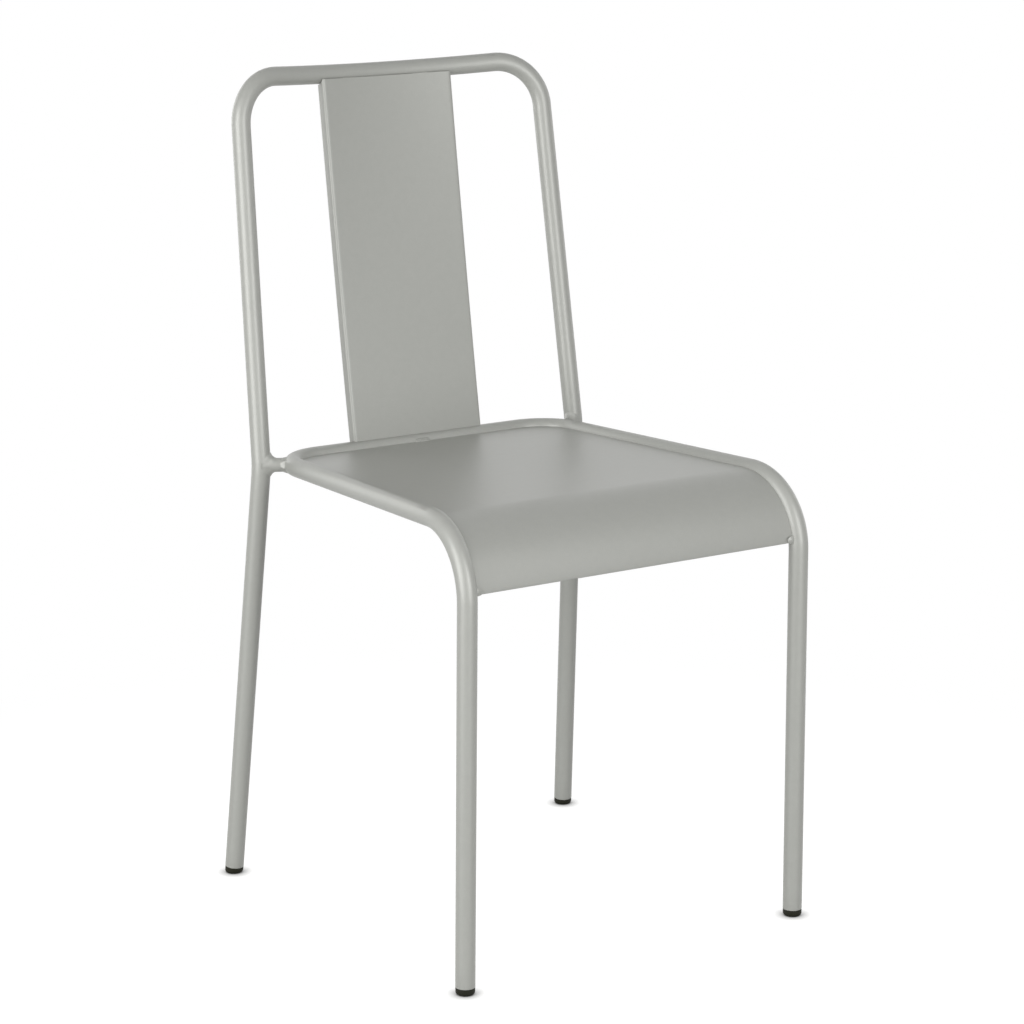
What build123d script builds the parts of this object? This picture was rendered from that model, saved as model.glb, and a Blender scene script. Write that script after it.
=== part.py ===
# Outdoor metal chair: two bent tubes, a bent seat sheet and a folded back splat, welded together.
# Millimetres, +Z up. The sitter faces -Y. Left and right are as seen from the front.
import os
from math import atan2, degrees, radians, sqrt, tan
from build123d import *

# Main sizes, between the tubes' axes
seat_w = 380.4  # across the front corners
seat_depth = 387.7  # front corners to rear seat rail
seat_h = 443.8  # front corners above the floor
back_h = 380.4  # top corners above the knees

# Stock
tube_d = 19.0
tube_wall = 1.5
rod_d = 14.0
sheet_t = 2.0

# Seat frame, by the corners of the tube's axis; y counts back from the front feet
front_corner_y = -2.1
front_splay = 3.0  # each front foot outside its corner
seat_taper = 26.5  # each side, from front to rear
seat_fall = 9.8  # rear rail below the front corners
front_bend_r = 68.0
rear_bend_r = 46.0

# Back frame, by the corners of the tube's axis
knee_out = 24.9  # each knee outside the seat's rear corner
knee_ahead = 8.2
knee_drop = 1.3
rear_splay = 16.7  # each rear foot outside its knee
rear_rake = 42.4  # each rear foot behind its knee
back_draw = 11.4  # each top corner inside its knee
back_rake = 53.2  # each top corner behind its knee
knee_bend_r = 80.0
top_bend_r = 48.8
rail_sweep = 38.0  # how far behind the top corners the top rail's end tangents cross
rail_dip = 9.2  # how far below the top corners they cross
rail_straight = 0.5  # straight left between a top bend and the rail's arc

# Seat panel: its mid-thickness lies on the seat frame's axis
apron_drop = 62.0  # from the front corner down to the apron's lower edge

# Back splat
splat_w = 153.4
splat_flange = 10.0  # flange depth, from the front face
splat_bend_r = 3.0  # outside radius of the flange bends
splat_inset = 2.0  # front face ahead of the rear seat rail's axis
splat_top_drop = 3.4  # top edge below the top rail's axis
notch_gap = 1.0  # between the flange's notch and the top rail

# Glides
glide_h = 6.9  # tube end above the floor, along the leg
cap_d = 18.6
cap_round = 3.0
plug_len = 22.0
plug_gap = 0.6
rib_gap = 0.05
rib_h = 1.2
rib_count = 4

# Welds
fit_gap = 0.1  # between a cut edge and the tube that it is welded to
back_weld_leg = 5.4
seat_weld_leg = 2.2
stitch_leg = 3.6
stitch_len = 18.0
stitch_full = 0.3  # how far a stitch's face stands proud of flat
nub_r = 3.2
nub_ahead = 0.8  # nub's centre ahead of the leg's axis
nub_up = 2.4  # nub's centre above the apron's edge
side_stitch_step = 100.0
splat_stitch_x = 42.0
rear_stitch_x = 75.0

tube_r = tube_d / 2
rod_r = rod_d / 2
half_sheet = sheet_t / 2
front_corner_x = seat_w / 2
front_corner_z = seat_h
front_foot_x = front_corner_x + front_splay
rear_corner_x = front_corner_x - seat_taper
rear_corner_y = front_corner_y + seat_depth
rear_corner_z = front_corner_z - seat_fall
knee_x = rear_corner_x + knee_out
knee_y = rear_corner_y - knee_ahead
knee_z = rear_corner_z - knee_drop
rear_foot_x = knee_x + rear_splay
rear_foot_y = knee_y + rear_rake
top_corner_x = knee_x - back_draw
top_corner_y = knee_y + back_rake
top_corner_z = knee_z + back_h
far = 2 * (top_corner_z + tube_d)


def both_sides(points):
    return [Vector(-x, y, z) for x, y, z in points] + [Vector(x, y, z) for x, y, z in reversed(points)]


def from_tube_end(foot, corner):
    # where the cut tube starts, a glide's height up the leg
    foot, corner = Vector(*foot), Vector(*corner)
    return tuple(foot + (corner - foot).normalized() * glide_h)


def seat_path():
    front_corner = (front_corner_x, front_corner_y, front_corner_z)
    rear_corner = (rear_corner_x, rear_corner_y, rear_corner_z)
    start = from_tube_end((front_foot_x, 0, 0), front_corner)
    radii = [front_bend_r, rear_bend_r]
    return FilletPolyline(*both_sides([start, front_corner, rear_corner]), radius=radii + radii[::-1])


def back_path():
    knee = Vector(knee_x, knee_y, knee_z)
    top = Vector(top_corner_x, top_corner_y, top_corner_z)
    apex = Vector(0, top_corner_y + rail_sweep, top_corner_z - rail_dip)
    start = from_tube_end((rear_foot_x, rear_foot_y, 0), tuple(knee))
    # the rail is one arc that fills the room between the two top bends
    top_turn = radians((top - knee).get_angle(apex - top))
    rail_turn = 2 * atan2(sqrt(rail_sweep**2 + rail_dip**2), top_corner_x)
    room = (apex - top).length - top_bend_r * tan(top_turn / 2) - rail_straight
    rail_r = room / tan(rail_turn / 2)
    points = both_sides([start, tuple(knee), tuple(top)])
    radii = [knee_bend_r, top_bend_r, rail_r, top_bend_r, knee_bend_r]
    return FilletPolyline(*points[:3], apex, *points[3:], radius=radii)


def along_path(path, section):
    return sweep(Plane(origin=path @ 0, z_dir=path % 0) * section, path)


def round_bar(path, diameter):
    return along_path(path, Circle(diameter / 2))


def tube(path):
    return along_path(path, Circle(tube_r) - Circle(tube_r - tube_wall))


def biggest(shape):
    return Part() + max(shape.solids(), key=lambda solid: solid.volume)


def seat_profile(offset):
    # side view of one face of the sheet: seat line, front bend, apron line
    rear = Vector(rear_corner_y, rear_corner_z)
    corner = Vector(front_corner_y, front_corner_z)
    toe = Vector(0, 0)
    along_seat = (corner - rear).normalized()
    down_leg = (toe - corner).normalized()
    out_seat = Vector(along_seat.Y, -along_seat.X)
    out_leg = Vector(down_leg.Y, -down_leg.X)
    miter = (out_seat + out_leg) / (1 + out_seat.dot(out_leg))
    points = [rear + out_seat * offset, corner + miter * offset, toe + out_leg * offset]
    return points, front_bend_r + offset


def make_seat_panel(seat_cutter):
    upper, upper_r = seat_profile(half_sheet)
    lower, lower_r = seat_profile(-half_sheet)
    outline = FilletPolyline(*upper, radius=upper_r)
    outline += Line(upper[-1], lower[-1])
    outline += FilletPolyline(*lower[::-1], radius=lower_r)
    outline += Line(lower[0], upper[0])
    strip = extrude(Plane.YZ * make_face(outline), front_corner_x, both=True)
    apron_z = front_corner_z - apron_drop
    below = Pos(0, 0, apron_z) * Box(far, far, far, align=(Align.CENTER, Align.CENTER, Align.MAX))
    return biggest(strip - below - seat_cutter)


def splat_section(plane, sag):
    # front face, bends, flanges; sag is how far the edges lie ahead of the middle
    side = splat_w / 2
    flat = side - splat_bend_r
    inner_r = splat_bend_r - sheet_t
    bend_y = splat_bend_r - sag
    end_y = splat_flange - sag
    slant = sqrt(0.5)

    def across(y, sign):
        start, end = (-sign * flat, y - sag), (sign * flat, y - sag)
        return ThreePointArc(start, (0, y), end) if sag else Line(start, end)

    def bend(radius, sign):
        middle = (sign * (flat + radius * slant), bend_y - radius * slant)
        return ThreePointArc((sign * flat, bend_y - radius), middle, (sign * (flat + radius), bend_y))

    outline = across(0, 1) + across(sheet_t, -1)
    for sign in (1, -1):
        outer_x, inner_x = sign * side, sign * (side - sheet_t)
        outline += bend(splat_bend_r, sign)
        outline += Line((outer_x, bend_y), (outer_x, end_y))
        outline += Line((outer_x, end_y), (inner_x, end_y))
        outline += Line((inner_x, end_y), (inner_x, bend_y))
        outline += bend(inner_r, sign)
    return plane * make_face(outline)


def splat_line(rail_middle):
    # the middle of the splat's front face, from the rear rail's axis level to the top edge
    stand_off = sqrt(tube_r**2 - splat_top_drop**2) + fit_gap + sheet_t
    top = rail_middle - Vector(0, stand_off, splat_top_drop)
    on_rail = Vector(0, rear_corner_y - splat_inset, rear_corner_z + tube_r)
    lean = (top - on_rail).normalized()
    bottom = on_rail - lean * (tube_r / lean.Z)
    return bottom, top, lean


def make_back_splat(back_route, rail_arc, seat_cutter, back_cutter):
    bottom, top, lean = splat_line(rail_arc @ 0.5)
    face_r = rail_arc.radius - tube_r - sheet_t
    flat = splat_w / 2 - splat_bend_r
    top_sag = face_r - sqrt(face_r**2 - flat**2)
    sections = []
    for origin, sag in ((bottom, 0), (top, top_sag)):
        sections.append(splat_section(Plane(origin=origin, x_dir=(1, 0, 0), z_dir=lean), sag))
    folded = loft(sections, ruled=True)
    notch = round_bar(back_route, tube_d + 2 * notch_gap) - Box(2 * flat, far, far)
    return biggest(folded - seat_cutter - back_cutter - notch)


def rod_axis(rear_bend):
    # from the left knee straight towards the centre of the seat frame's rear bend
    height = (rear_bend @ 0.5).Z
    start = Vector(-knee_x, knee_y, height)
    centre = Vector(rear_bend.arc_center.X, rear_bend.arc_center.Y, height)
    direction = (centre - start).normalized()
    return start, direction, (centre - start).length - rear_bend.radius


def make_link_rod(start, direction, length, seat_cutter, back_cutter):
    bar = extrude(Plane(origin=start, z_dir=direction) * Circle(rod_r), length)
    return biggest(bar - seat_cutter - back_cutter)


def rod_weld(start, direction, along_tube, leg):
    # a collar that flares from the rod on to the tube, wide along the tube and narrow across it
    across = min(rod_r + leg, tube_r - fit_gap)
    steps = [
        (tube_r + leg, rod_r, rod_r),
        (tube_r + leg / 2, rod_r + leg / 4, rod_r + (across - rod_r) / 4),
        (tube_r, rod_r + leg, across),
        (tube_r / 2, rod_r + leg, across),
    ]
    rings = []
    for distance, long_r, short_r in steps:
        plane = Plane(origin=start + direction * distance, x_dir=along_tube, z_dir=direction)
        rings.append(plane * Ellipse(long_r, short_r))
    return loft(rings, ruled=True)


def corner_face(on_sheet, sheet_dir, turn):
    # Section of a stitch. The tube is centred on the section's origin and the sheet's face is a line.
    # From where the line leaves the tube, one leg follows the sheet and the other goes round the tube.
    depth = on_sheet.dot(sheet_dir)
    root = on_sheet + sheet_dir * (sqrt(depth**2 - on_sheet.dot(on_sheet) + tube_r**2) - depth)
    step = degrees(turn * stitch_leg / tube_r)
    sheet_toe = root + sheet_dir * stitch_leg
    tube_toe = root.rotate(Axis.Z, step)
    middle = (sheet_toe + tube_toe) / 2
    outline = Line(root, sheet_toe)
    outline += ThreePointArc(sheet_toe, middle + (middle - root).normalized() * stitch_full, tube_toe)
    outline += ThreePointArc(tube_toe, root.rotate(Axis.Z, step / 2), root)
    return make_face(outline)


def stitch(seam, section):
    return extrude(seam * section, stitch_len / 2, both=True)


def group(shapes):
    return Compound(children=[solid for shape in shapes for solid in shape.solids()])


def other_hand(shape):
    return mirror(shape, about=Plane.YZ)


def pair(shape):
    return group([shape, other_hand(shape)])


def side_stitches():
    # in the corner under the panel, along the straight left rail
    front = Vector(-front_corner_x, front_corner_y, front_corner_z)
    rear = Vector(-rear_corner_x, rear_corner_y, rear_corner_z)
    along = (rear - front).normalized()
    up = Vector(1, 0, 0).cross(along).normalized()
    section = corner_face(Vector(0, half_sheet), Vector(1, 0), 1)
    made = []
    for index in (-1, 0, 1):
        on_axis = (front + rear) / 2 + along * (index * side_stitch_step)
        made.append(stitch(Plane(origin=on_axis, x_dir=along.cross(up), z_dir=along), section))
    return group(made)


def rear_stitches():
    # one tack on top at the middle of the rear seam, and two stitches under it
    to_front = Vector(0, front_corner_y - rear_corner_y, front_corner_z - rear_corner_z)
    made = []
    for x, below in ((0, -1), (-rear_stitch_x, 1), (rear_stitch_x, 1)):
        seam = Plane(origin=(x, rear_corner_y, rear_corner_z), x_dir=to_front, z_dir=(1, 0, 0))
        made.append(stitch(seam, corner_face(Vector(0, below * half_sheet), Vector(1, 0), below)))
    return group(made)


def apron_nubs(seat_bar, panel):
    nub_z = front_corner_z - apron_drop + nub_up
    rise = nub_z / front_corner_z
    leg_x = front_foot_x + (front_corner_x - front_foot_x) * rise
    centre = Vector(tube_r - leg_x, front_corner_y * rise - nub_ahead, nub_z)
    return pair(biggest(Pos(*centre) * Sphere(nub_r) - seat_bar - panel))


def splat_top_stitches(rail_arc):
    # in the wedge between the splat's back and the underside of the top rail
    rail_middle = rail_arc @ 0.5
    top, lean = splat_line(rail_middle)[1:]
    on_back = top + Vector(0, lean.Z, -lean.Y) * sheet_t - rail_middle
    section = corner_face(Vector(-on_back.Y, -on_back.Z), Vector(lean.Y, lean.Z), 1)
    seam = Plane(origin=rail_middle, x_dir=(0, -1, 0), z_dir=(1, 0, 0))
    rail_axis = Axis(rail_arc.arc_center, (rail_middle - rail_arc.arc_center).cross(Vector(1, 0, 0)))
    turn = degrees(1 / rail_arc.radius)
    run = revolve(seam * section, rail_axis, stitch_len * turn)
    return pair(run.rotate(rail_axis, (splat_stitch_x - stitch_len / 2) * turn))


def splat_bottom_stitches(rail_arc):
    # behind the splat, where it stands on the rear seat rail
    lean = splat_line(rail_arc @ 0.5)[2]
    on_back = Vector(-splat_inset, tube_r) + Vector(lean.Z, -lean.Y) * sheet_t
    section = corner_face(on_back, Vector(lean.Y, lean.Z), -1)
    on_axis = (-splat_stitch_x, rear_corner_y, rear_corner_z)
    return pair(stitch(Plane(origin=on_axis, x_dir=(0, 1, 0), z_dir=(1, 0, 0)), section))


def make_glide(foot, corner):
    # a cap cut level with the floor, and a ribbed plug up inside the tube
    foot, corner = Vector(*foot), Vector(*corner)
    up = (corner - foot).normalized()
    cap = extrude(Plane(origin=foot - up * glide_h, z_dir=up) * Circle(cap_d / 2), 2 * glide_h)
    cap -= Box(far, far, far, align=(Align.CENTER, Align.CENTER, Align.MAX))
    cap = fillet(cap.edges().sort_by(Axis.Z)[0], cap_round)
    seat = Plane(origin=foot + up * glide_h, z_dir=up)
    bore_r = tube_r - tube_wall
    cap += extrude(seat * Circle(bore_r - plug_gap), plug_len)
    for index in range(rib_count):
        ring = seat.offset((index + 0.5) * plug_len / rib_count)
        cap += extrude(ring * Circle(bore_r - rib_gap), rib_h)
    return cap


seat_route = seat_path()
back_route = back_path()
rear_bend = seat_route.edges().filter_by(GeomType.CIRCLE)[1]
rail_arc = back_route.edges().filter_by(GeomType.CIRCLE)[2]
seat_bar = round_bar(seat_route, tube_d)
back_bar = round_bar(back_route, tube_d)
seat_cutter = round_bar(seat_route, tube_d + 2 * fit_gap)
back_cutter = round_bar(back_route, tube_d + 2 * fit_gap)

panel = make_seat_panel(seat_cutter)
splat = make_back_splat(back_route, rail_arc, seat_cutter, back_cutter)
nodes = {
    "back_frame": tube(back_route),
    "seat_frame": tube(seat_route),
    "seat_panel": panel,
    "back_splat": splat,
    "seat_rear_welds": rear_stitches(),
    "apron_corner_welds": apron_nubs(seat_bar, panel),
    "splat_top_welds": splat_top_stitches(rail_arc),
    "splat_bottom_welds": splat_bottom_stitches(rail_arc),
}

# Pieces that come in left and right hands are made on the left
start, direction, length = rod_axis(rear_bend)
rod = make_link_rod(start, direction, length, seat_cutter, back_cutter)
back_weld = rod_weld(start, direction, (0, 0, 1), back_weld_leg)
tangent = Vector(0, 0, 1).cross(direction)
seat_weld = rod_weld(start + direction * length, -direction, tangent, seat_weld_leg)
handed = {
    "{}_link_rod": rod,
    "{}_rod_back_weld": biggest(back_weld - back_bar - rod),
    "{}_rod_seat_weld": biggest(seat_weld - seat_bar - rod),
    "seat_{}_welds": side_stitches(),
    "front_{}_glide": make_glide((-front_foot_x, 0, 0), (-front_corner_x, front_corner_y, front_corner_z)),
    "rear_{}_glide": make_glide((-rear_foot_x, rear_foot_y, 0), (-knee_x, knee_y, knee_z)),
}
for name, shape in handed.items():
    nodes[name.format("left")] = shape
    nodes[name.format("right")] = other_hand(shape)

# The origin is on the floor, midway between the frontmost and rearmost points of the tubes
front_y = nodes["seat_frame"].bounding_box().min.Y
rear_y = nodes["back_frame"].bounding_box().max.Y
to_centre = Pos(0, -(front_y + rear_y) / 2, 0)
os.makedirs("parts", exist_ok=True)
for name, shape in nodes.items():
    export_step(to_centre * shape, f"parts/{name}.step")
print("front feet at y", -(front_y + rear_y) / 2, "rail radius", rail_arc.radius)
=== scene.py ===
import bpy
import numpy as np
from mathutils import Matrix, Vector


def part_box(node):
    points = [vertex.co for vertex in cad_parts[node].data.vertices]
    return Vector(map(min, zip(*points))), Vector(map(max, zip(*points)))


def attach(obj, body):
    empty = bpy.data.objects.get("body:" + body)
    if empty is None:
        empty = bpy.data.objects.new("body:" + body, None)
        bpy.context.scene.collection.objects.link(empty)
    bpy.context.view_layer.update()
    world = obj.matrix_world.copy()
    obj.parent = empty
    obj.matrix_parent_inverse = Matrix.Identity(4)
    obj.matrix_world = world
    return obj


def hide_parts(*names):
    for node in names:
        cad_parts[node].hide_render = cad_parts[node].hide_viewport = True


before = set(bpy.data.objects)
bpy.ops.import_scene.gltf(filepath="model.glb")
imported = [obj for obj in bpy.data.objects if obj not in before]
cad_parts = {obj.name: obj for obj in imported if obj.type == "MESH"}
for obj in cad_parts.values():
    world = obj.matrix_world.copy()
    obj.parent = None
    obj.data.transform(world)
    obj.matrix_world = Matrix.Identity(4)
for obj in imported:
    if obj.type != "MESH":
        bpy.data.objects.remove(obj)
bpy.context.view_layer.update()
print("frame loaded:", len(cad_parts), "nodes")

# Every shape is worked out in millimetres, with y counted back from the front feet and x to the right.
# putMesh moves it on to the frame and turns it into metres. Left-hand shapes are made, then mirrored.
across, upright = np.array([1.0, 0, 0]), np.array([0, 0, 1.0])
mm, mmPerMetre = 0.001, 1000
plainWhite = (1, 1, 1, 1)
rimSteps = 5  # points on a quarter-round edge of tube or sheet


def unit(v):
    # every row divided by its own length
    v = np.asarray(v, float)
    return v / np.linalg.norm(v, axis=-1, keepdims=True)


def onLeft(tube, *names):
    # the named corners of a tube, on its left side
    return [np.array(tube[name]) * (-1, 1, 1) for name in names]


def bentRoute(corners, radii, runStep=22.0, turnStep=2.5):
    # Straight runs joined by arcs: where the line turns by angle a, an arc of radius r starts r*tan(a/2)
    # short of the corner. Arc point = start + inward*r*(1 - cos p) + before*r*sin p, with p from 0 to a.
    corners = np.asarray(corners, float)
    runs = unit(np.diff(corners, axis=0))
    points, tangents = [], []
    last = corners[0]
    for corner, before, after, radius in zip(corners[1:-1], runs[:-1], runs[1:], radii):
        turn = np.arccos(before @ after)
        inward = unit(after - before * (before @ after))
        start = corner - before * radius * np.tan(turn / 2)
        part = np.linspace(0, 1, max(3, int(np.linalg.norm(start - last) / runStep) + 2))[:-1, None]
        points.append(last + (start - last) * part)
        tangents.append(np.repeat(before[None], len(part), 0))
        p = np.linspace(0, turn, max(5, int(np.degrees(turn) / turnStep) + 2))[:, None]
        points.append(start + inward * radius * (1 - np.cos(p)) + before * radius * np.sin(p))
        tangents.append(before * np.cos(p) + inward * np.sin(p))
        last = points[-1][-1]
    part = np.linspace(0, 1, max(3, int(np.linalg.norm(corners[-1] - last) / runStep) + 2))[1:, None]
    points.append(last + (corners[-1] - last) * part)
    tangents.append(np.repeat(runs[-1][None], len(part), 0))
    return np.vstack(points), np.vstack(tangents)


def gridFaces(rows, cols, wrapRows, wrapCols):
    # quads of a rows x cols grid, the last row or column joined to the first where it wraps
    r = np.arange(rows if wrapRows else rows - 1)[:, None]
    c = np.arange(cols if wrapCols else cols - 1)[None, :]
    r2, c2 = (r + 1) % rows, (c + 1) % cols
    return np.stack([r * cols + c, r * cols + c2, r2 * cols + c2, r2 * cols + c], -1).reshape(-1, 4)


def outwards(points, faces):
    # the faces turn round if the volume that they enclose comes out negative
    a, b, c, d = (points[faces[:, k]] for k in range(4))
    volume = np.einsum("ij,ij->", a, np.cross(b, c)) + np.einsum("ij,ij->", a, np.cross(c, d))
    return points, faces if volume > 0 else faces[:, ::-1]


def endless(grid):
    # rings carried round until the last one meets the first
    rows, around = grid.shape[:2]
    return outwards(grid.reshape(-1, 3), gridFaces(rows, around, True, True))


def swept(grid):
    # rings of an even number of points carried along; a ladder of quads across each end ring closes it
    rows, around = grid.shape[:2]
    i = np.arange(around // 2 - 1)
    ladder = np.stack([i, i + 1, around - 2 - i, around - 1 - i], -1)
    faces = [gridFaces(rows, around, False, True), ladder[:, ::-1], ladder + (rows - 1) * around]
    return outwards(grid.reshape(-1, 3), np.vstack(faces))


def joined(parts):
    # several (points, faces) as one
    firsts = np.cumsum([0] + [len(points) for points, faces in parts])
    faces = [faces + first for (points, faces), first in zip(parts, firsts)]
    return np.vstack([points for points, _ in parts]), np.vstack(faces)


def mirrored(part):
    # the other hand: x changes sign and the faces turn round
    points, faces = part
    return points * (-1, 1, 1), faces[:, ::-1]


def putMesh(name, part, finish, node, sharp=40):
    # the finished piece, smooth but for edges sharper than the given angle, in place of its node
    points, faces = part
    mesh = bpy.data.meshes.new(name)
    mesh.from_pydata(((points + (0, frontFeetY, 0)) * mm).tolist(), [], faces.tolist())
    mesh.validate()
    mesh.polygons.foreach_set("use_smooth", np.ones(len(mesh.polygons), bool))
    mesh.set_sharp_from_angle(angle=np.radians(sharp))
    mesh.materials.append(finish["material"])
    piece = bpy.data.objects.new(name, mesh)
    bpy.context.scene.collection.objects.link(piece)
    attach(piece, "root")
    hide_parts(node)


def putBothHands(name, part, finish, node):
    # name and node have braces where the hand goes
    putMesh(name.format("left", "Left"), part, finish, node.format("left"))
    putMesh(name.format("right", "Right"), mirrored(part), finish, node.format("right"))


def colour(hexValue):
    # sRGB hex to linear
    s = np.array([int(hexValue[k:k + 2], 16) for k in (1, 3, 5)]) / 255
    return (*np.where(s <= 0.04045, s / 12.92, ((s + 0.055) / 1.055) ** 2.4), 1)


def addNode(tree, kind, settings=None, links=None):
    # a setting is the node's own attribute where it has one of that name, and otherwise a socket
    node = tree.nodes.new(kind)
    for key, value in (settings or {}).items():
        if isinstance(key, str) and hasattr(node, key):
            setattr(node, key, value)
        else:
            node.inputs[key].default_value = value
    for key, source in (links or {}).items():
        tree.links.new(source, node.inputs[key])
    return node


def mixedColour(tree, first, second, factor):
    # from the first hex colour to the second as the factor goes from 0 to 1
    settings = {"data_type": "RGBA", 6: colour(first), 7: colour(second)}
    return addNode(tree, "ShaderNodeMix", settings, {"Factor": factor}).outputs[2]


def newMaterial(name):
    material = bpy.data.materials.new(name)
    material.use_nodes = True
    material.node_tree.nodes.clear()
    return material, material.node_tree


coatLook = {
    "light": "#a9aaa5", "dark": "#9d9e99",
    "speckle": 0.9,  # mm; the real flecks are about 0.1, drawn coarser so that they show
    "mottle": 7.0, "mottleShare": 0.35,  # mm; slow drift of the film's tone
    "peel": 1.6, "peelDepth": 0.05, "peelStrength": 0.5,  # mm; orange peel
    "grit": 0.35, "gritDepth": 0.02, "gritStrength": 0.4,  # mm; the powder's own grain
    "roughLow": 0.38, "roughHigh": 0.46, "ior": 1.57, "flake": 0.12,
}


def powderCoat(look):
    # Polyester powder with a little aluminium flake, sprayed on steel and baked to a satin film. It shows
    # a lamp as a soft band along a tube and, at a low angle, a blurred mirror image; close to, a faint
    # orange peel.
    material, tree = newMaterial("satinPowderCoat")
    place = addNode(tree, "ShaderNodeTexCoord").outputs["Object"]

    def noise(size, detail):
        settings = {"Scale": mmPerMetre / look[size], "Detail": detail}
        return addNode(tree, "ShaderNodeTexNoise", settings, {"Vector": place}).outputs["Fac"]

    fleck = noise("speckle", 2.0)
    tone = addNode(tree, "ShaderNodeMix", {"data_type": "FLOAT", 0: look["mottleShare"]},
                   {2: fleck, 3: noise("mottle", 1.0)})
    tint = mixedColour(tree, look["dark"], look["light"], tone.outputs[0])
    rough = addNode(tree, "ShaderNodeMapRange", {"To Min": look["roughLow"], "To Max": look["roughHigh"]},
                    {"Value": fleck})
    waves = addNode(tree, "ShaderNodeBump",
                    {"Distance": look["peelDepth"] * mm, "Strength": look["peelStrength"]},
                    {"Height": noise("peel", 1.0)})
    grain = addNode(tree, "ShaderNodeBump",
                    {"Distance": look["gritDepth"] * mm, "Strength": look["gritStrength"]},
                    {"Height": noise("grit", 1.0), "Normal": waves.outputs["Normal"]})
    coat = addNode(tree, "ShaderNodeBsdfPrincipled", {"Metallic": look["flake"], "IOR": look["ior"]},
                   {"Base Color": tint, "Roughness": rough.outputs["Result"],
                    "Normal": grain.outputs["Normal"]})
    addNode(tree, "ShaderNodeOutputMaterial", None, {"Surface": coat.outputs["BSDF"]})
    return material


glideLook = {
    "light": "#1e1f14", "dark": "#131409",
    "grain": 0.5, "grainDepth": 0.03, "grainStrength": 0.5,  # mm
    "rough": 0.6, "ior": 1.51, "specular": 0.18,
}


def mouldedPlastic(look):
    # Black polyethylene, injection moulded: a dull even skin with a fine spark-eroded grain.
    material, tree = newMaterial("blackPolyethylene")
    place = addNode(tree, "ShaderNodeTexCoord").outputs["Object"]
    settings = {"Scale": mmPerMetre / look["grain"], "Detail": 3.0}
    grain = addNode(tree, "ShaderNodeTexNoise", settings, {"Vector": place})
    tint = mixedColour(tree, look["dark"], look["light"], grain.outputs["Fac"])
    bump = addNode(tree, "ShaderNodeBump",
                   {"Distance": look["grainDepth"] * mm, "Strength": look["grainStrength"]},
                   {"Height": grain.outputs["Fac"]})
    skin = addNode(tree, "ShaderNodeBsdfPrincipled",
                   {"Roughness": look["rough"], "IOR": look["ior"], "Specular IOR Level": look["specular"]},
                   {"Base Color": tint, "Normal": bump.outputs["Normal"]})
    addNode(tree, "ShaderNodeOutputMaterial", None, {"Surface": skin.outputs["BSDF"]})
    return material


coatFinish = {"material": powderCoat(coatLook), "slot": "powder_coat"}
glideFinish = {"material": mouldedPlastic(glideLook), "slot": "black_plastic"}
print("materials ready")

# corners of each tube's axis on the right side, the radii of its bends, and how far up the leg it is cut
seatTube = {
    "dia": 19.0, "wall": 1.5, "rim": 0.7, "cutAbove": 6.9,
    "foot": (193.2, 0.0, 0.0), "front": (190.2, -2.1, 443.8), "rear": (163.7, 385.6, 434.0),
    "frontBend": 68.0, "rearBend": 46.0,
}
backTube = {
    "dia": 19.0, "wall": 1.5, "rim": 0.7, "cutAbove": 6.9,
    "foot": (205.3, 419.8, 0.0), "knee": (188.6, 377.4, 432.7), "top": (177.2, 430.6, 813.1),
    "kneeBend": 80.0, "topBend": 48.8, "railSweep": 38.0, "railDip": 9.2, "railStraight": 0.5,
}


def bothSides(tube, *names):
    # the left-hand corners from the cut end up, then the right-hand ones back down
    left = np.array(onLeft(tube, *names))
    left[0] += unit(left[1] - left[0]) * tube["cutAbove"]
    return np.vstack([left, left[::-1] * (-1, 1, 1)])


def seatRoute(tube):
    radii = [tube["frontBend"], tube["rearBend"], tube["rearBend"], tube["frontBend"]]
    return bentRoute(bothSides(tube, "foot", "front", "rear"), radii)


def backRouteAndRail(tube):
    # the top rail is one arc that fills the room between the two top bends
    corners = bothSides(tube, "foot", "knee", "top")
    knee, top = corners[1], corners[2]
    apex = np.array([0, top[1] + tube["railSweep"], top[2] - tube["railDip"]])
    toApex = unit(apex - top)
    topTurn = np.arccos(unit(top - knee) @ toApex)
    bowed = unit([0, tube["railSweep"], -tube["railDip"]])  # from the rail's chord to its bow
    halfTurn = np.arcsin(np.hypot(*toApex[1:]))
    room = np.linalg.norm(apex - top) - tube["topBend"] * np.tan(topTurn / 2) - tube["railStraight"]
    radius = room / np.tan(halfTurn)
    centre = apex - bowed * radius / np.cos(halfTurn)
    rail = {"radius": radius, "centre": centre, "bowed": bowed, "middle": centre + bowed * radius}
    radii = [tube["kneeBend"], tube["topBend"], radius, tube["topBend"], tube["kneeBend"]]
    return bentRoute(np.insert(corners, 3, apex, 0), radii, turnStep=1.6), rail


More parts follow.
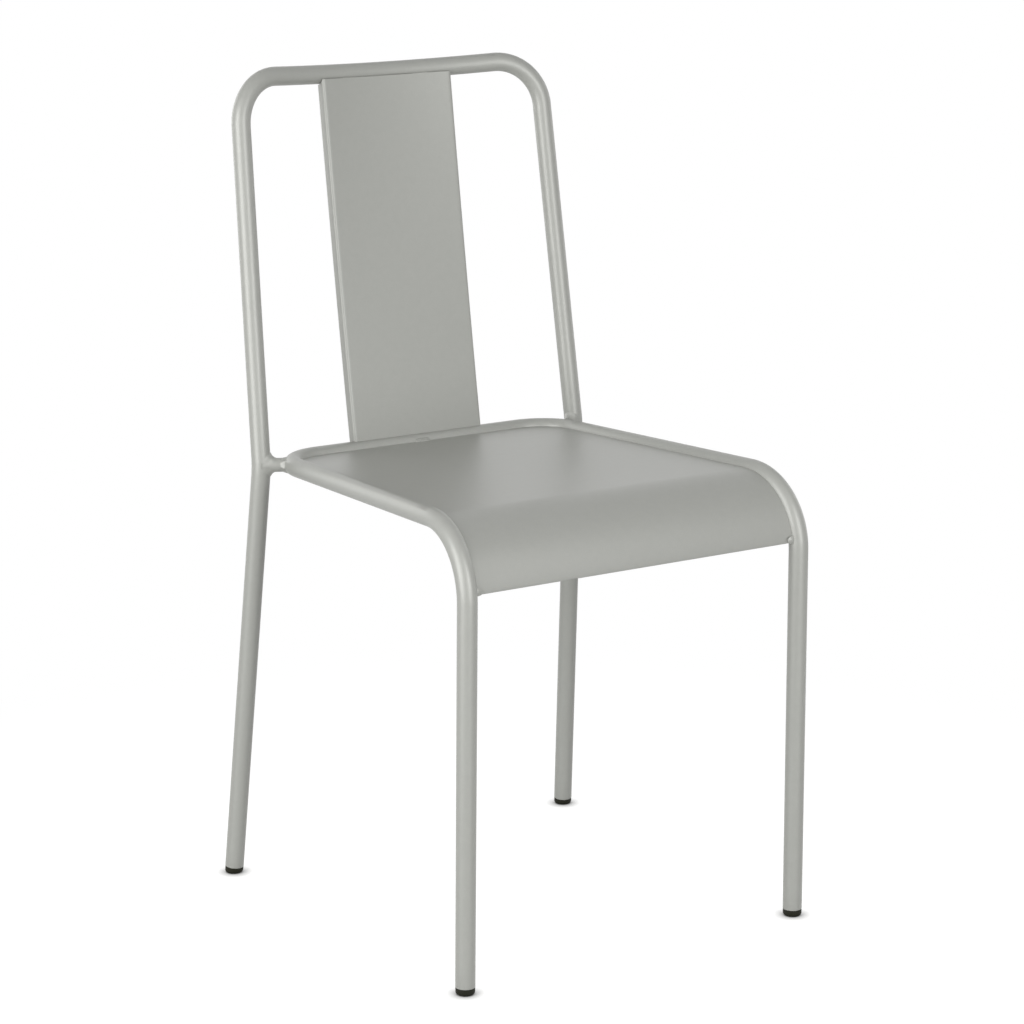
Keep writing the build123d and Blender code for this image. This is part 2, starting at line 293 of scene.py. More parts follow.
def tubeSurface(route, tube, sideways, around=64):
    # A ring carried along the route on the outside and back in the bore, so that it closes on itself.
    # Ring point = centre + radius*(cos t * side + sin t * over); side is square to the tangent and sideways.
    points, tangents = route
    # a quarter-round rim at a cut end
    p = np.linspace(0, np.pi / 2, rimSteps)
    inset, shrink = tube["rim"] * (1 - np.cos(p)), tube["rim"] * (1 - np.sin(p))
    head = points[0] + tangents[0] * inset[:, None]
    tail = points[-1] - tangents[-1] * inset[::-1, None]
    headTangents, tailTangents = (np.repeat(tangents[k][None], len(p), 0) for k in (0, -1))
    centres = np.vstack([head, points[1:-1], tail, points[::-1]])
    along = np.vstack([headTangents, tangents[1:-1], tailTangents, tangents[::-1]])
    r = tube["dia"] / 2
    outside = [r - shrink, np.full(len(points) - 2, r), r - shrink[::-1]]
    radius = np.concatenate(outside + [np.full(len(points), r - tube["wall"])])
    side = unit(np.cross(along, np.asarray(sideways, float)))
    over = np.cross(along, side)
    t = np.linspace(0, 2 * np.pi, around, endpoint=False)[None, :, None]
    ring = np.cos(t) * side[:, None] + np.sin(t) * over[:, None]
    return endless(centres[:, None] + radius[:, None, None] * ring)


seatLine = seatRoute(seatTube)
backLine, topRail = backRouteAndRail(backTube)
# the seat tube's frontmost skin and the node's box give the move from the feet to the frame's origin
seatFrontY = np.min(seatLine[0][:, 1] - seatTube["dia"] / 2 * np.sqrt(1 - seatLine[1][:, 1] ** 2))
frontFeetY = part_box("seat_frame")[0][1] * mmPerMetre - seatFrontY
putMesh("seatFrame", tubeSurface(seatLine, seatTube, (1, 1, 1)), coatFinish, "seat_frame")
putMesh("backFrame", tubeSurface(backLine, backTube, (0, 1, 0)), coatFinish, "back_frame")
print("tubes made, front feet at", round(frontFeetY, 3), "top rail radius", round(topRail["radius"], 1))

# out is how far the sheet lies above the tube's axis, and ahead of it on the apron
seatSheet = {
    "thick": 2.0, "gap": 0.1, "out": 1.7, "apronEdge": 382.3, "edgeRound": 0.7,
    "across": 60, "cornerRows": 28, "runStep": 9.0,
    "edgeRoom": 0.8,  # no row of the sheet lies this close above the apron's edge
}


def rearBend(tube):
    # the left rear bend's centre, and the direction of the left rail from front to rear
    front, rear = onLeft(tube, "front", "rear")
    rail = unit(rear - front)
    start = rear - rail * tube["rearBend"] * np.tan(np.arccos(rail[0]) / 2)
    return start + unit(across - rail * rail[0]) * tube["rearBend"], rail


def seatPanelSurface(sheet, tube):
    # Side view: seat, front bend and apron follow the left rail's axis, a little outside it, with half the
    # thickness to each side. It is carried across as x = s*halfWidth, s from -1 to 1; halfWidth narrows
    # round the rear corners' circle. The gap to the tube is kept at the upper face.
    front, foot = onLeft(tube, "front", "foot")
    centre, rail = rearBend(tube)
    h, r = sheet["thick"] / 2, sheet["edgeRound"]
    reach = np.sqrt((tube["dia"] / 2 + sheet["gap"]) ** 2 - (sheet["out"] + h) ** 2)
    cornerRadius = tube["rearBend"] - reach
    q = np.linspace(0, np.pi / 2, sheet["cornerRows"])[:-1, None]
    rearY = centre[1] + cornerRadius * np.cos(q)
    rearRows = front + rail * (rearY - front[1]) / rail[1]
    straightEnd = front + rail * (centre[1] - front[1]) / rail[1]
    rows, tangents = bentRoute([straightEnd, front, foot], [tube["frontBend"]], runStep=sheet["runStep"])
    rows = np.vstack([rearRows, rows])
    tangents = np.vstack([np.repeat(-rail[None], len(rearRows), 0), tangents])
    out = unit(np.stack([np.zeros(len(rows)), tangents[:, 2], -tangents[:, 1]], -1))  # up, then forward
    rows = rows + out * sheet["out"]
    # the last row lies on the apron's edge
    last = np.sum(rows[:, 2] > sheet["apronEdge"] + sheet["edgeRoom"])
    part = (rows[last - 1, 2] - sheet["apronEdge"]) / (rows[last - 1, 2] - rows[last, 2])

    def cut(a):
        return np.vstack([a[:last], a[last - 1] + (a[last] - a[last - 1]) * part])

    rows, tangents, out = cut(rows), cut(tangents), cut(out)
    half = -rows[:, 0] - reach / np.sqrt(1 - rail[0] ** 2)
    inCorner = np.clip(cornerRadius**2 - (rows[:, 1] - centre[1]) ** 2, 0, None)
    nearCorner = rows[:, 1] > centre[1] - cornerRadius * rail[0]
    half = np.where(nearCorner, np.minimum(half, -centre[0] + np.sqrt(inCorner)), half)
    # the apron's edge is rounded from its front face to its back
    p = np.linspace(0, np.pi / 2, rimSteps)[:, None]
    lip = out[-1] * (h - r + r * np.cos(p))
    lift = unit(tangents[-1] * (0, 1, 1)) * r * (1 - np.sin(p))
    upper = [rows[:-1] + out[:-1] * h, rows[-1] + lip - lift]
    lower = [(rows[-1] - lip - lift)[::-1], (rows[:-1] - out[:-1] * h)[::-1]]
    loop = np.vstack(upper + lower)
    width = np.concatenate([half[:-1], np.full(len(p), half[-1])])
    width = np.concatenate([width, width[::-1]])
    s = np.linspace(-1, 1, sheet["across"])[:, None]
    return swept(np.stack([s * width, loop[:, 1] + 0 * s, loop[:, 2] + 0 * s], -1))


putMesh("seatPanel", seatPanelSurface(seatSheet, seatTube), coatFinish, "seat_panel", 30)
print("seat panel made")

splatSheet = {
    "width": 153.4, "flange": 10.0, "bend": 3.0, "thick": 2.0, "inset": 2.0, "topDrop": 3.4,
    "gap": 0.1, "notchGap": 1.0, "edgeRound": 0.5, "bowPower": 2.0,
    "rows": 140, "faceSteps": 30, "bendSteps": 9, "flangeSteps": 4,
    "searchFrom": 0.94, "searchSteps": 600,  # share of the height where the top rail is looked for
    "gapSlack": 0.9,  # the face itself is made to the gap, so a hair less counts as clear
}


def splatLine(sheet, tube, seat, rail):
    # the middle of the front face, from the rear seat rail's axis level to the top edge
    r = tube["dia"] / 2
    standOff = np.sqrt(r**2 - sheet["topDrop"] ** 2) + sheet["gap"] + sheet["thick"]
    top = rail["middle"] - (0, standOff, sheet["topDrop"])
    onRail = np.array([0, seat["rear"][1] - sheet["inset"], seat["rear"][2] + r])
    lean = unit(top - onRail)
    return onRail - lean * (r / lean[2]), top, lean


def offRail(points, rail):
    # distance to the top rail's axis, a circle in the plane of its bow and x
    d = points - rail["centre"]
    aside = d @ np.cross(across, rail["bowed"])
    return np.hypot(np.hypot(d[..., 0], d @ rail["bowed"]) - rail["radius"], aside)


def splatSection(sheet):
    # x and depth of the outer skin from the left flange to the right one, and of the inner skin back again
    flat = sheet["width"] / 2 - sheet["bend"]
    steps, lengths = sheet["faceSteps"], sheet["flangeSteps"]
    a, e = np.linspace(0, np.pi / 2, sheet["bendSteps"]), np.linspace(0, np.pi / 2, 4)[1:]
    down = np.linspace(1 / lengths, 1, lengths)
    rim, edge = sheet["edgeRound"], sheet["flange"] - sheet["edgeRound"]
    skins = []
    for radius, toMiddle in ((sheet["bend"], -1), (sheet["bend"] - sheet["thick"], 1)):
        side = flat + radius
        x = [np.linspace(0, flat, steps + 1)[:-1], flat + radius * np.sin(a), np.full(lengths, side)]
        x.append(side + toMiddle * rim * (1 - np.cos(e)))  # rounded edge of the flange
        depth = [np.full(steps, sheet["bend"] - radius), sheet["bend"] - radius * np.cos(a)]
        depth += [sheet["bend"] + (edge - sheet["bend"]) * down, edge + rim * np.sin(e)]
        skins.append((np.concatenate(x), np.concatenate(depth)))
    (outX, outDepth), (inX, inDepth) = skins
    x = np.concatenate([-outX[:0:-1], outX, inX[::-1], -inX[1:]])
    return x, np.concatenate([outDepth[:0:-1], outDepth, inDepth[::-1], inDepth[1:]]), flat


def splatSurface(sheet, tube, seat, rail):
    # The section is carried up the lean. Its face is flat at the bottom and takes up the top rail's curve as
    # bow*height^power, so that most of the bow is near the top.
    bottom, top, lean = splatLine(sheet, tube, seat, rail)
    back = np.array([0, lean[2], -lean[1]])
    x, depth, flat = splatSection(sheet)
    faceRadius = rail["radius"] - tube["dia"] / 2 - sheet["thick"]
    bow = faceRadius - np.sqrt(faceRadius**2 - np.minimum(np.abs(x), flat) ** 2)
    start = bottom + x[:, None] * across + depth[:, None] * back

    def atHeight(part):
        bowed = bow[:, None] * part ** sheet["bowPower"]
        return start[:, None] + (top - bottom) * part[..., None] - back * bowed[..., None]

    # each line starts where it leaves the rear seat rail, and the flanges stop short of the top rail
    reach = tube["dia"] / 2 + sheet["gap"]
    rel, rise = (start - (0, *seat["rear"][1:]))[:, 1:], (top - bottom)[1:]
    half = rel @ rise / (rise @ rise)
    square = (np.einsum("ij,ij->i", rel, rel) - reach**2) / (rise @ rise)
    low = np.sqrt(np.clip(half**2 - square, 0, None)) - half
    trial = np.linspace(sheet["searchFrom"], 1.0, sheet["searchSteps"])
    onFlange = np.abs(x) > flat + 0.01
    room = np.where(onFlange, sheet["notchGap"], sheet["gap"] * sheet["gapSlack"]) + tube["dia"] / 2
    blocked = offRail(atHeight(np.repeat(trial[None], len(x), 0)), rail) < room[:, None]
    high = np.where(blocked.any(1), trial[np.argmax(blocked, 1)], 1.0)
    v = np.linspace(0, 1, sheet["rows"])
    grid = atHeight(low[:, None] + (high - low)[:, None] * v)
    return swept(grid.transpose(1, 0, 2))


putMesh("backSplat", splatSurface(splatSheet, backTube, seatTube, topRail), coatFinish, "back_splat", 30)
print("back splat made")

linkRod = {
    "dia": 14.0, "around": 96,
    "sunk": 0.4, "hub": 0.2,  # the rod's ends lie this far inside the skin and close to a small hub
    # weld metal lies this far off the rod, goes this far into rod and tube, and stops short of the
    # tube's full width
    "clear": 0.05, "inside": 0.5, "below": 0.3, "margin": 0.1,
    # a broad hollow fillet, longest on top, that ends in a step
    "backLeg": 5.4, "backUneven": 0.7, "toe": 0.8, "backSteps": 14,
    # a cone at the seat end with one flat ground on it, and the run of metal that hangs under it
    "collarLong": 4.0, "flare": 1.5, "facing": 2.93, "flatHalf": 0.42, "flatBlend": 0.12,
    "seatLeg": 0.5, "seatSteps": 10, "lump": 0.35, "ripple": 0.1,
    "drop": 1.9, "dropAngle": 4.38, "dropWide": 0.32,
    "nearby": 60, "halvings": 22,  # mm of tube that is looked at, and steps of the search for its skin
}


def finePath(route, step=0.25):
    # the route's points, close together
    points = route[0]
    length = np.concatenate([[0], np.cumsum(np.linalg.norm(np.diff(points, axis=0), axis=1))])
    s = np.arange(0, length[-1], step)
    return np.stack([np.interp(s, length, points[:, k]) for k in range(3)], -1)


def rodParts(rod, tube, seat):
    # the left rod and its two welds, as rings about the rod's axis that are carried on to the tubes' skins
    bendCentre = rearBend(seat)[0]
    rear = onLeft(seat, "rear")[0]
    rodLevel = (bendCentre + unit(rear - bendCentre) * seat["rearBend"])[2]
    start = np.array([-tube["knee"][0], tube["knee"][1], rodLevel])
    centre = np.array([*bendCentre[:2], rodLevel])
    direction = unit(centre - start)
    middle = (start + centre - direction * seat["rearBend"]) / 2
    farthest = np.linalg.norm(middle - start)
    t = np.linspace(0, 2 * np.pi, rod["around"], endpoint=False)
    ring = np.cos(t)[:, None] * np.cross(upright, direction) + np.sin(t)[:, None] * upright
    r, skin = rod["dia"] / 2, tube["dia"] / 2

    def onSkin(way, path, radius, proud):
        # a ring about the rod's axis, carried along way on to the tube's skin by halving the interval
        base = middle + ring * np.asarray(radius).reshape(-1, 1)
        near = path[np.linalg.norm(path - middle, axis=1) < rod["nearby"]]
        low, high = np.zeros(len(t)), np.full(len(t), farthest)
        for _ in range(rod["halvings"]):
            trial = (low + high) / 2
            probe = base + way * trial[:, None]
            free = np.sqrt(((probe[:, None] - near) ** 2).sum(-1).min(1)) > skin
            low, high = np.where(free, trial, low), np.where(free, high, trial)
        return base + way * (low - proud)[:, None]

    def weld(way, outline):
        # outline gives ring radius and height above the tube's skin, from the rod to the toe
        rings = [onSkin(*way, radius, height) for radius, height in outline]
        inner, below = r - rod["inside"], rod["below"]
        rings += [onSkin(*way, inner, -below), onSkin(*way, inner, outline[0][1] - below)]
        return endless(np.stack(rings))

    backWay, seatWay = (-direction, finePath(backLine)), (direction, finePath(seatLine))
    sunk, hub, clear = -rod["sunk"], rod["hub"], rod["clear"]
    rodRings = [onSkin(*backWay, hub, sunk), onSkin(*backWay, r, sunk)]
    rodRings += [onSkin(*seatWay, r, sunk), onSkin(*seatWay, hub, sunk)]
    uneven = rod["lump"] * np.sin(5 * t + 0.7) * np.sin(2 * t) + rod["ripple"] * np.sin(30 * t)

    # back fillet: radius r + reach*u, height leg*(1 - sqrt(1 - (1 - u)^2)) + toe*(1 - u^6);
    # reach is an ellipse, wide along the tube and held to the tube's width across it
    leg = rod["backLeg"] + rod["backUneven"] * np.sin(t)
    wide = min(rod["backLeg"], skin - rod["margin"] - r)
    reach = 1 / np.hypot(np.cos(t) / (r + wide), np.sin(t) / (r + leg)) - r
    backOutline = []
    for u in 1 - np.cos(np.linspace(0, np.pi / 2, rod["backSteps"])):
        bulge = uneven * np.sin(np.pi * u)
        height = leg * (1 - np.sqrt(1 - (1 - u) ** 2)) + rod["toe"] * (1 - u**6) + 0.6 * bulge
        backOutline.append((r + clear + reach * u + bulge, height - clear))

    # seat collar: radius r + leg*u^(1/2) + (flare*front^2/2 + lumps)*u, height long*(1 - u); front is 1
    # where it faces the room and 0 behind, and one drop hangs low on the rod. On the flat the radius is
    # (r + flare*u)/cos(angle from its middle), which is a plane.
    off = np.abs(t - rod["facing"])
    front = (1 + np.cos(off)) / 2
    drop = rod["drop"] * np.exp(-((t - rod["dropAngle"]) / rod["dropWide"]) ** 2)
    grown = rod["flare"] * front**2 / 2 + uneven + drop
    onFlat = np.clip((rod["flatHalf"] + rod["flatBlend"] - off) / rod["flatBlend"], 0, 1)
    level = 1 / np.cos(np.minimum(off, rod["flatHalf"])) - 1
    seatOutline = []
    for u in np.linspace(0, 1, rod["seatSteps"]):
        plain = r + clear + rod["seatLeg"] * u**0.5 + grown * u
        plane = (r + clear + rod["flare"] * u) * (1 + level * min(1, 2 * u))
        radius = np.clip(plain + (plane - plain) * onFlat, r + clear, skin - rod["margin"])
        seatOutline.append((radius, rod["collarLong"] * (1 - u) - clear))
    return swept(np.stack(rodRings)), weld(backWay, backOutline), weld(seatWay, seatOutline)


rodPart, backWeld, seatWeld = rodParts(linkRod, backTube, seatTube)
putBothHands("{}LinkRod", rodPart, coatFinish, "{}_link_rod")
putBothHands("{}RodBackWeld", backWeld, coatFinish, "{}_rod_back_weld")
putBothHands("{}RodSeatWeld", seatWeld, coatFinish, "{}_rod_seat_weld")
print("link rods and their welds made")

stitchBead = {
    "leg": 3.6, "length": 18.0, "full": 0.3, "pitch": 1.9, "ripple": 0.14,
    "sideStep": 100.0, "rearX": 75.0, "splatX": 42.0, "steps": 80, "tip": 0.0004,
}


def cornerSection(onSheet, sheetDir, turn, bead, r):
    # Tube at the origin, sheet's face a line. From where the line leaves the tube, one leg follows the sheet
    # and the other goes round the tube; a slightly full curve joins their ends.
    onSheet, sheetDir = np.array(onSheet, float), np.array(sheetDir, float)
    depth = onSheet @ sheetDir
    root = onSheet + sheetDir * (np.sqrt(depth**2 - onSheet @ onSheet + r**2) - depth)
    a = np.arctan2(root[1], root[0]) + turn * np.linspace(1, 0, 6) * bead["leg"] / r
    roundTube = r * np.stack([np.cos(a), np.sin(a)], -1)
    toe = root + sheetDir * bead["leg"]
    s = np.linspace(0, 1, 9)[:, None]
    proud = unit((toe + roundTube[0]) / 2 - root) * bead["full"] * 4 * s * (1 - s)
    crown = toe + (roundTube[0] - toe) * s + proud
    alongSheet = root + (toe - root) * np.linspace(0.2, 0.8, 4)[:, None]
    first = len(alongSheet)
    return np.vstack([alongSheet, crown, roundTube[1:]]), root, slice(first, first + len(crown))


def stitchSurface(seam, u, w, section, bead):
    # The section carried along the seam; it shrinks to its root at both ends as (1 - s^6)^(1/2),
    # and its crown rises and falls by a small ripple, one wave for each dab of weld.
    loop, root, crown = section
    s = np.linspace(-1, 1, len(seam))
    taper = np.sqrt(np.clip(1 - s**6, bead["tip"], 1))
    waves = bead["ripple"] * np.sin(s * np.pi * bead["length"] / bead["pitch"])
    swell = np.ones((len(s), len(loop)))
    swell[:, crown] += waves[:, None] * np.sin(np.linspace(0, np.pi, crown.stop - crown.start))
    flat = root + (loop - root) * (taper[:, None] * swell)[..., None]
    return swept(seam[:, None] + flat[..., :1] * u[:, None] + flat[..., 1:] * w[:, None])


def beadRun(bead):
    # places along a stitch, counted from its middle
    return np.linspace(-0.5, 0.5, bead["steps"])[:, None] * bead["length"]


def straightStitch(centre, along, u, w, section, bead):
    s = beadRun(bead)
    return stitchSurface(centre + s * along, np.tile(u, (len(s), 1)), np.tile(w, (len(s), 1)), section, bead)


def seatStitches(bead, seat, sheet):
    # three under the left rail; one tack on top of the rear seam and two stitches under it
    r, h, lift = seat["dia"] / 2, sheet["thick"] / 2, sheet["out"]
    front, rear = onLeft(seat, "front", "rear")
    rail = unit(rear - front)
    up = unit(np.cross(across, rail))
    under = cornerSection((0, h - lift), (1, 0), 1, bead, r)
    above = cornerSection((0, -h - lift), (1, 0), -1, bead, r)
    side = []
    for k in (-1, 0, 1):
        centre = (front + rear) / 2 + rail * k * bead["sideStep"]
        side.append(straightStitch(centre, rail, np.cross(rail, up), -up, under, bead))
    forward = unit((front - rear) * (0, 1, 1))
    down = np.cross(across, forward)
    behind = []
    for x, section in ((0, above), (-bead["rearX"], under), (bead["rearX"], under)):
        behind.append(straightStitch(rear * (0, 1, 1) + across * x, across, forward, down, section, bead))
    return joined(side), joined(behind)


def splatStitches(bead, seat, tube, sheet, rail):
    # the left-hand stitches behind the splat, under the top rail and on the rear seat rail
    r = tube["dia"] / 2
    _, top, lean = splatLine(sheet, tube, seat, rail)
    onBack = top + np.array([0, lean[2], -lean[1]]) * sheet["thick"] - rail["middle"]
    wedge = cornerSection((-onBack[1], -onBack[2]), lean[1:], 1, bead, r)
    turn = (beadRun(bead) - bead["splatX"]) / rail["radius"]
    seam = rail["centre"] + (np.sin(turn) * across + np.cos(turn) * rail["bowed"]) * rail["radius"]
    tangent = np.cos(turn) * across - np.sin(turn) * rail["bowed"]
    ahead = unit(np.cross(tangent, upright))
    upper = stitchSurface(seam, ahead, np.cross(tangent, ahead), wedge, bead)
    onBack = np.array([-sheet["inset"], r]) + np.array([lean[2], -lean[1]]) * sheet["thick"]
    foot = cornerSection(onBack, lean[1:], -1, bead, r)
    centre = np.array([-bead["splatX"], *seat["rear"][1:]])
    return upper, straightStitch(centre, across, np.cross(upright, across), upright, foot, bead)


sideWelds, rearWelds = seatStitches(stitchBead, seatTube, seatSheet)
splatTop, splatFoot = splatStitches(stitchBead, seatTube, backTube, splatSheet, topRail)
putBothHands("seat{1}Welds", sideWelds, coatFinish, "seat_{}_welds")
putMesh("seatRearWelds", rearWelds, coatFinish, "seat_rear_welds")
putMesh("splatTopWelds", joined([splatTop, mirrored(splatTop)]), coatFinish, "splat_top_welds")
putMesh("splatBottomWelds", joined([splatFoot, mirrored(splatFoot)]), coatFinish, "splat_bottom_welds")

apronNub = {
    "radius": 3.2, "ahead": 2.6, "above": 3.2, "tall": 1.25, "flat": 0.36, "spread": 2.0, "soft": 3.0,
    "rows": 26, "around": 40, "pole": 0.02,
}


def nubSurface(nub, seat, sheet):
    # A dab of weld at the apron's lower corner: a ball, taller than wide and drawn out towards the apron.
    # Its depth is radius*flat*|d|^k for a ball's own depth d; k grows from 1 to 1 + soft upwards and
    # towards the apron, where the dab runs out into the sheet.
    front, foot = onLeft(seat, "front", "foot")
    onLeg = foot + (front - foot) * (sheet["apronEdge"] + nub["above"]) / front[2]
    p = np.linspace(nub["pole"], np.pi - nub["pole"], nub["rows"])[:, None]
    t = np.linspace(0, 2 * np.pi, nub["around"], endpoint=False)[None]
    d = np.sin(p) * np.sin(t)
    k = 1 + nub["soft"] * np.clip(np.maximum(np.cos(t), np.cos(p)), 0, 1)
    aside = nub["radius"] * np.sin(p) * np.cos(t) * np.where(np.cos(t) > 0, nub["spread"], 1)
    depth = nub["radius"] * nub["flat"] * np.sign(d) * np.abs(d) ** k
    dab = np.stack([aside, depth, nub["radius"] * np.cos(p) * nub["tall"] + 0 * t], -1)
    return swept(onLeg + (seat["dia"] / 2, -nub["ahead"], 0) + dab)


nub = nubSurface(apronNub, seatTube, seatSheet)
putMesh("apronCornerWelds", joined([nub, mirrored(nub)]), coatFinish, "apron_corner_welds")
print("weld stitches made")

glide = {
    "dia": 18.6, "round": 3.0, "height": 6.9, "edge": 0.3, "hub": 0.3,
    "around": 72, "roundSteps": 8, "edgeSteps": 4,
    "plugLong": 22.0, "plugDia": 14.8, "ribDia": 15.9, "ribHigh": 1.2, "ribs": 4,
}


def glideSurface(look, foot, corner):
    # A profile turned about the leg's axis. Below, its heights are kept level with the floor by sliding each
    # point along the leg; above, they are measured along the leg from the tube's end.
    axis = unit(corner - foot)
    side = unit(np.cross(axis, (0, 1, 0)))
    r, k, edge, hub = look["dia"] / 2, look["round"], look["edge"], look["hub"]
    a, b = (np.linspace(0, np.pi / 2, look[steps]) for steps in ("roundSteps", "edgeSteps"))
    lowRadius = np.concatenate([[hub, r - k - hub], r - k + k * np.sin(a)])
    lowHeight = np.concatenate([[0, 0], k * (1 - np.cos(a))])
    core, fin = look["plugDia"] / 2, look["ribDia"] / 2
    ribStarts = look["height"] + look["plugLong"] / look["ribs"] * (np.arange(look["ribs"]) + 0.5)
    ribHeight = (ribStarts[:, None] + np.array([0, 0, look["ribHigh"], look["ribHigh"]])).ravel()
    ribRadius = np.tile([core, fin, fin, core], look["ribs"])
    top = look["height"] + look["plugLong"]
    capRadius, capHeight = r - edge * (1 - np.cos(b)), look["height"] - edge * (1 - np.sin(b))
    highRadius = np.concatenate([capRadius, [core], ribRadius, [core, core - 2 * hub, hub]])
    highHeight = np.concatenate([capHeight, [look["height"]], ribHeight, [top - 2 * hub, top, top]])
    t = np.linspace(0, 2 * np.pi, look["around"], endpoint=False)[:, None]
    ring = np.cos(t) * side + np.sin(t) * np.cross(axis, side)
    low = lowRadius[:, None, None] * ring
    low = low + axis * ((lowHeight[:, None] - low[..., 2]) / axis[2])[..., None]
    high = highRadius[:, None, None] * ring + axis * highHeight[:, None, None]
    return swept(foot + np.vstack([low, high]))


frontGlide = glideSurface(glide, *onLeft(seatTube, "foot", "front"))
rearGlide = glideSurface(glide, *onLeft(backTube, "foot", "knee"))
putBothHands("front{1}Glide", frontGlide, glideFinish, "front_{}_glide")
putBothHands("rear{1}Glide", rearGlide, glideFinish, "rear_{}_glide")
print("glides made")


def stand(name, data, place, right, up):
    # an object at a place, with its own x and y along right and up
    turned = np.eye(4)
    turned[:3, 0], turned[:3, 1], turned[:3, 2], turned[:3, 3] = right, up, np.cross(right, up), place
    thing = bpy.data.objects.new(name, data)
    thing.matrix_world = Matrix(turned.tolist())
    bpy.context.scene.collection.objects.link(thing)
    return thing


# place in mm from the front feet; heading from +Y towards +X, in degrees; lens and sensor in mm
cameraView = {
    "place": (-1793.01, -2481.13, 1153.29), "heading": 33.6585, "pitch": -13.2025,
    "lens": 118.46, "sensor": 36,
}


def placeCamera(view):
    heading, pitch = np.radians(view["heading"]), np.radians(view["pitch"])
    forward = np.array([np.sin(heading) * np.cos(pitch), np.cos(heading) * np.cos(pitch), np.sin(pitch)])
    right = np.array([np.cos(heading), -np.sin(heading), 0])
    camera = bpy.data.cameras.new("camera")
    camera.lens = view["lens"]
    camera.sensor_width = view["sensor"]
    place = (np.array(view["place"]) + (0, frontFeetY, 0)) * mm
    bpy.context.scene.camera = stand("camera", camera, place, right, np.cross(right, forward))


placeCamera(cameraView)

# Metres and watts. other is the floor's colour for the light that it throws back on the chair. glow is the
# white that the camera sees on the floor; a painted contact shadow, ambient occlusion within reach, takes
# some of it away.
studio = {
    "ambient": 0.15, "floor": "#969694", "other": "#a0a09e", "glow": 0.9, "reach": 0.012, "contactShadeDeepen": 1.6,
    "contactShadeSamples": 16, "fade": (0.3, 0.9), "floorHalf": 20, "aim": (0, 0, 0.45),
    "lamps": {
        "sideBox": {"place": (-2.29, -0.39, 1.06), "size": (1.5, 2.12), "power": 51, "seat": False},
        "frontBox": {"place": (0.053, -2.33, 1.022), "size": (0.94, 2.06), "power": 35, "seat": False},
        "sideSheet": {"place": (-2.29, -0.39, 1.3), "size": (3.6, 2.6), "power": 53, "seat": True},
        "frontSheet": {"place": (0.053, -2.33, 1.3), "size": (3.0, 2.6), "power": 39, "seat": True},
        "backPanel": {"place": (1.49, 2.23, 1.27), "size": (3.0, 1.8), "power": 5},
        "backBox": {"place": (-0.68, 2.55, 1.0), "size": (1.4, 1.6), "power": 14},
        "rightBox": {"place": (2.62, 0.23, 1.0), "size": (1.4, 1.6), "power": 8},
    },
}


def seenDirectly(tree):
    # 1 for rays from the camera or off something shiny, which see the plain background
    rays = addNode(tree, "ShaderNodeLightPath").outputs
    shiny = addNode(tree, "ShaderNodeMath", {"operation": "MAXIMUM"},
                    {0: rays["Is Glossy Ray"], 1: rays["Is Transmission Ray"]})
    return addNode(tree, "ShaderNodeMath", {"operation": "MAXIMUM"},
                   {0: shiny.outputs[0], 1: rays["Is Camera Ray"]}).outputs[0]


def makeWorld(look):
    world = bpy.data.worlds.new("studio")
    bpy.context.scene.world = world
    world.use_nodes = True
    tree = world.node_tree
    tree.nodes.clear()
    soft = addNode(tree, "ShaderNodeBackground", {"Color": plainWhite, "Strength": look["ambient"]})
    white = addNode(tree, "ShaderNodeBackground", {"Color": plainWhite, "Strength": 1.0})
    mix = addNode(tree, "ShaderNodeMixShader", None,
                  {"Fac": seenDirectly(tree), 1: soft.outputs[0], 2: white.outputs[0]})
    addNode(tree, "ShaderNodeOutputWorld", None, {"Surface": mix.outputs[0]})


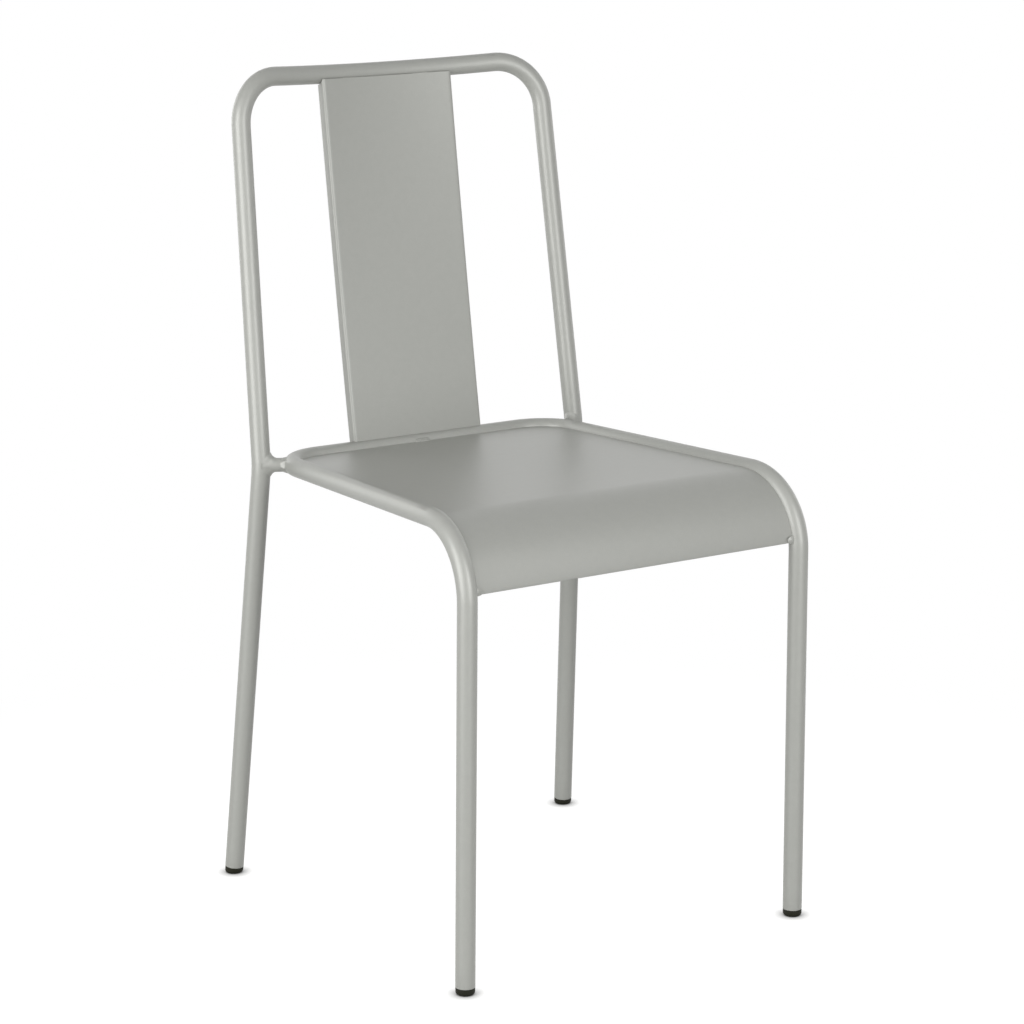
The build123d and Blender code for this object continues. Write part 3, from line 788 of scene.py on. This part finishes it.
def makeFloor(look):
    # Pale paper with a white glow over it, which is so bright that the lamps' shadows hardly show. Close to
    # the feet the glow is darkened by ambient occlusion, a painted contact shadow. Farther out it is plain
    # white.
    material, tree = newMaterial("paleFloor")
    direct = seenDirectly(tree)
    shade = mixedColour(tree, look["other"], look["floor"], direct)
    paper = addNode(tree, "ShaderNodeBsdfDiffuse", None, {"Color": shade})
    # painted contact shadow: ambient occlusion within reach darkens the floor's glow next to the feet
    paintedContactShade = addNode(tree, "ShaderNodeAmbientOcclusion",
                  {"Distance": look["reach"], "samples": look["contactShadeSamples"]})
    paintedShadeDeep = addNode(tree, "ShaderNodeMath", {"operation": "POWER", 1: look["contactShadeDeepen"]}, {0: paintedContactShade.outputs["AO"]})
    # lit is the glow with the painted contact shadow taken out of it
    lit = addNode(tree, "ShaderNodeMath", {"operation": "MULTIPLY", 1: look["glow"]}, {0: paintedShadeDeep.outputs[0]})
    lift = addNode(tree, "ShaderNodeMath", {"operation": "MULTIPLY"}, {0: lit.outputs[0], 1: direct})
    glow = addNode(tree, "ShaderNodeEmission", {"Color": plainWhite}, {"Strength": lift.outputs[0]})
    near = addNode(tree, "ShaderNodeAddShader", None, {0: paper.outputs[0], 1: glow.outputs[0]})
    place = addNode(tree, "ShaderNodeTexCoord").outputs["Object"]
    away = addNode(tree, "ShaderNodeVectorMath", {"operation": "LENGTH"}, {0: place})
    settings = {"interpolation_type": "SMOOTHSTEP", "From Min": look["fade"][0], "From Max": look["fade"][1]}
    fade = addNode(tree, "ShaderNodeMapRange", settings, {"Value": away.outputs["Value"]})
    clear = addNode(tree, "ShaderNodeMath", {"operation": "MULTIPLY"},
                    {0: fade.outputs["Result"], 1: direct})
    white = addNode(tree, "ShaderNodeEmission", {"Color": plainWhite, "Strength": 1.0})
    both = addNode(tree, "ShaderNodeMixShader", None,
                   {0: clear.outputs[0], 1: near.outputs[0], 2: white.outputs[0]})
    addNode(tree, "ShaderNodeOutputMaterial", None, {"Surface": both.outputs[0]})
    mesh, far = bpy.data.meshes.new("floor"), look["floorHalf"]
    mesh.from_pydata([(-far, -far, 0), (far, -far, 0), (far, far, 0), (-far, far, 0)], [], [(0, 1, 2, 3)])
    mesh.materials.append(material)
    stand("floor", mesh, (0, 0, 0), across, np.cross(upright, across))


def makeLamps(look):
    # Soft boxes, each turned to the aim. The flat seat would mirror the two tall boxes as plain white when
    # it is seen from across the chair, so they leave it out, and two broad dim sheets light it instead.
    for name, box in look["lamps"].items():
        lamp = bpy.data.lights.new(name, "AREA")
        lamp.shape = "RECTANGLE"
        lamp.size, lamp.size_y = box["size"]
        lamp.energy = box["power"]
        back = unit(np.array(box["place"]) - look["aim"])
        right = unit(np.cross(upright, back))
        lit = stand(name, lamp, box["place"], right, np.cross(back, right))
        if "seat" in box:
            group = bpy.data.collections.new(name)
            group.objects.link(bpy.data.objects["seatPanel"])
            group.collection_objects[0].light_linking.link_state = "INCLUDE" if box["seat"] else "EXCLUDE"
            lit.light_linking.receiver_collection = group


makeWorld(studio)
makeFloor(studio)
makeLamps(studio)
bpy.context.scene.view_settings.view_transform = "Standard"
print("camera, floor and light ready")
